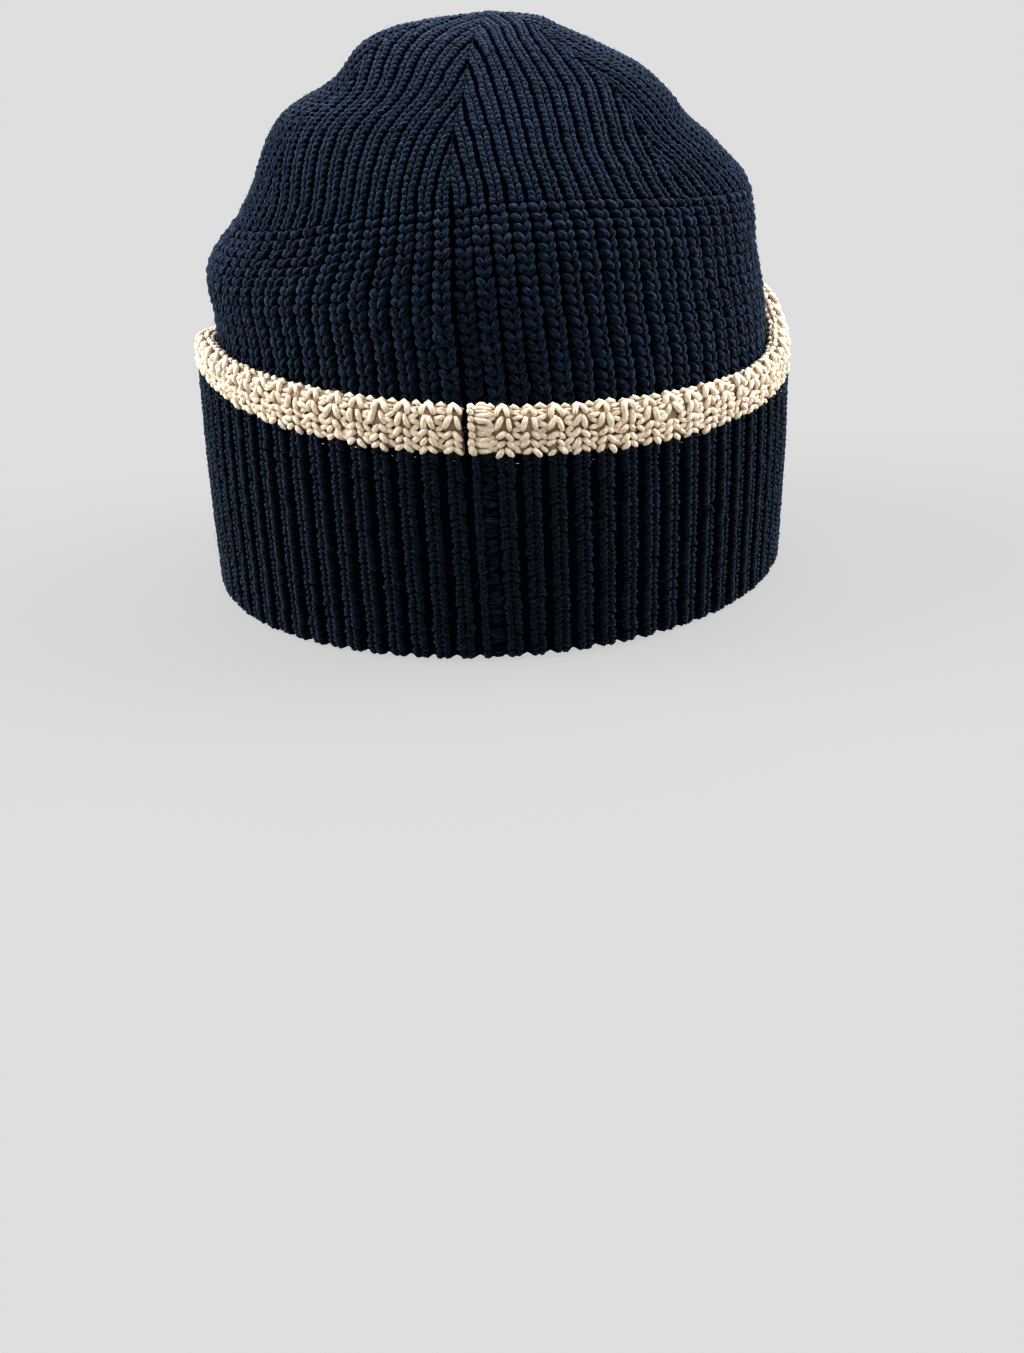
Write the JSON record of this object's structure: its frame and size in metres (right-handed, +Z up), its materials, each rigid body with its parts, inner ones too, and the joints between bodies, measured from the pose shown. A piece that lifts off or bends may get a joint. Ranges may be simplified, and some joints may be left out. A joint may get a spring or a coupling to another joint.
{
  "type": "cuffed rib-knit cotton hat",
  "caption": "Close-fitting rib-knit cotton hat with a gored crown top, a ribbed side wall, a turned-up cuff and a contrast edge round the top of the cuff",
  "frame": {"origin": "centre of the bounding box's base: the flat underside of the rim, where the hat rests", "axes": "+Z up through the crown, -Y towards the centre back with its seam, +Y towards the wearer's front, +X to the right when seen from behind"},
  "size_m": [0.1785, 0.2055, 0.1675],
  "materials": {
    "navy_knit": "chunky navy cotton rib knit, soft and matt with a faint sheen",
    "cream_knit": "warm cream cotton rib knit, matt"
  },
  "bodies": {
    "root": {"crown_top": "navy_knit", "side_wall": "navy_knit", "cuff": "navy_knit", "cuff_edge": "cream_knit"}
  },
  "joints": []
}
